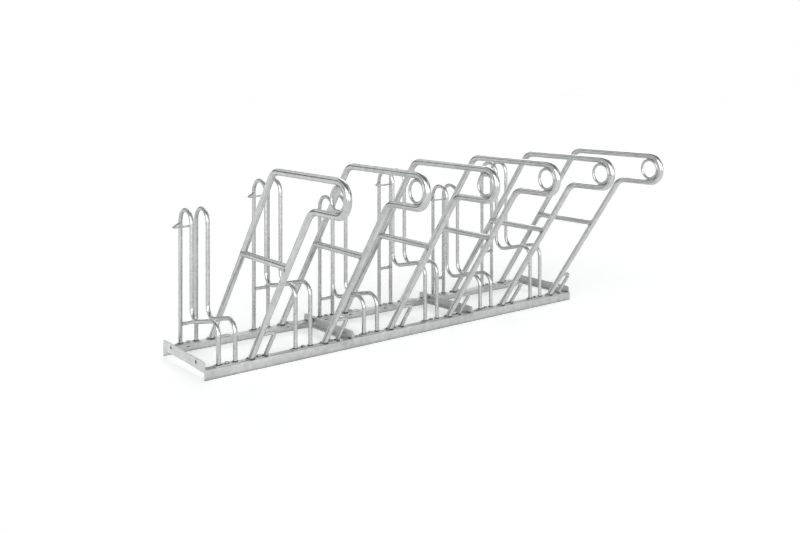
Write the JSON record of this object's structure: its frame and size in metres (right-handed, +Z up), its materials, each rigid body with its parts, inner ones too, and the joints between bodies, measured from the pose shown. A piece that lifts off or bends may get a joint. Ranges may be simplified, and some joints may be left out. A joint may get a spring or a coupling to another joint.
{
  "type": "floor bike rack",
  "caption": "Modular floor rack for bicycles: bent hoop pairs hold a wheel at alternating heights beside leaning tube frames with a lock ring, bolted to an angle steel base.",
  "frame": {"origin": "middle of the bounding box, on the floor", "axes": "+X along the row of places, to the right seen from the lock rings; +Y towards the rear rails; +Z up"},
  "size_m": [2.1, 1.086, 0.8246],
  "materials": {
    "galvanised_angle": "hot-dip galvanised rolled steel, mottled grey",
    "galvanised_bar": "hot-dip galvanised round bar",
    "galvanised_tube": "hot-dip galvanised steel tube, smooth",
    "zinc_fastener": "zinc plated hexagon fastener, dull"
  },
  "bodies": {
    "root": {"front_rail_1": "galvanised_angle", "rear_rail_1": "galvanised_angle", "cross_angle_left_1": "galvanised_angle", "cross_angle_right_1": "galvanised_angle", "front_rail_2": "galvanised_angle", "rear_rail_2": "galvanised_angle", "cross_angle_left_2": "galvanised_angle", "cross_angle_right_2": "galvanised_angle", "front_rail_3": "galvanised_angle", "rear_rail_3": "galvanised_angle", "cross_angle_left_3": "galvanised_angle", "cross_angle_right_3": "galvanised_angle", "wheel_hoop_left_1": "galvanised_bar", "wheel_hoop_right_1": "galvanised_bar", "lock_hook_1": "galvanised_bar", "lean_frame_1": "galvanised_tube", "cross_bar_1": "galvanised_tube", "lock_ring_1": "galvanised_bar", "side_brace_1": "galvanised_bar", "wheel_hoop_left_2": "galvanised_bar", "wheel_hoop_right_2": "galvanised_bar", "lock_hook_2": "galvanised_bar", "lean_frame_2": "galvanised_tube", "cross_bar_2": "galvanised_tube", "lock_ring_2": "galvanised_bar", "side_brace_2": "galvanised_bar", "wheel_hoop_left_3": "galvanised_bar", "wheel_hoop_right_3": "galvanised_bar", "lock_hook_3": "galvanised_bar", "lean_frame_3": "galvanised_tube", "cross_bar_3": "galvanised_tube", "lock_ring_3": "galvanised_bar", "side_brace_3": "galvanised_bar", "wheel_hoop_left_4": "galvanised_bar", "wheel_hoop_right_4": "galvanised_bar", "lock_hook_4": "galvanised_bar", "lean_frame_4": "galvanised_tube", "cross_bar_4": "galvanised_tube", "lock_ring_4": "galvanised_bar", "side_brace_4": "galvanised_bar", "wheel_hoop_left_5": "galvanised_bar", "wheel_hoop_right_5": "galvanised_bar", "lock_hook_5": "galvanised_bar", "lean_frame_5": "galvanised_tube", "cross_bar_5": "galvanised_tube", "lock_ring_5": "galvanised_bar", "side_brace_5": "galvanised_bar", "wheel_hoop_left_6": "galvanised_bar", "wheel_hoop_right_6": "galvanised_bar", "lock_hook_6": "galvanised_bar", "lean_frame_6": "galvanised_tube", "cross_bar_6": "galvanised_tube", "lock_ring_6": "galvanised_bar", "side_brace_6": "galvanised_bar", "hoop_links": "galvanised_bar", "foot_plates": "galvanised_angle", "foot_bolts": "zinc_fastener", "foot_nuts": "zinc_fastener", "joint_bolts": "zinc_fastener", "joint_nuts": "zinc_fastener"}
  },
  "joints": []
}
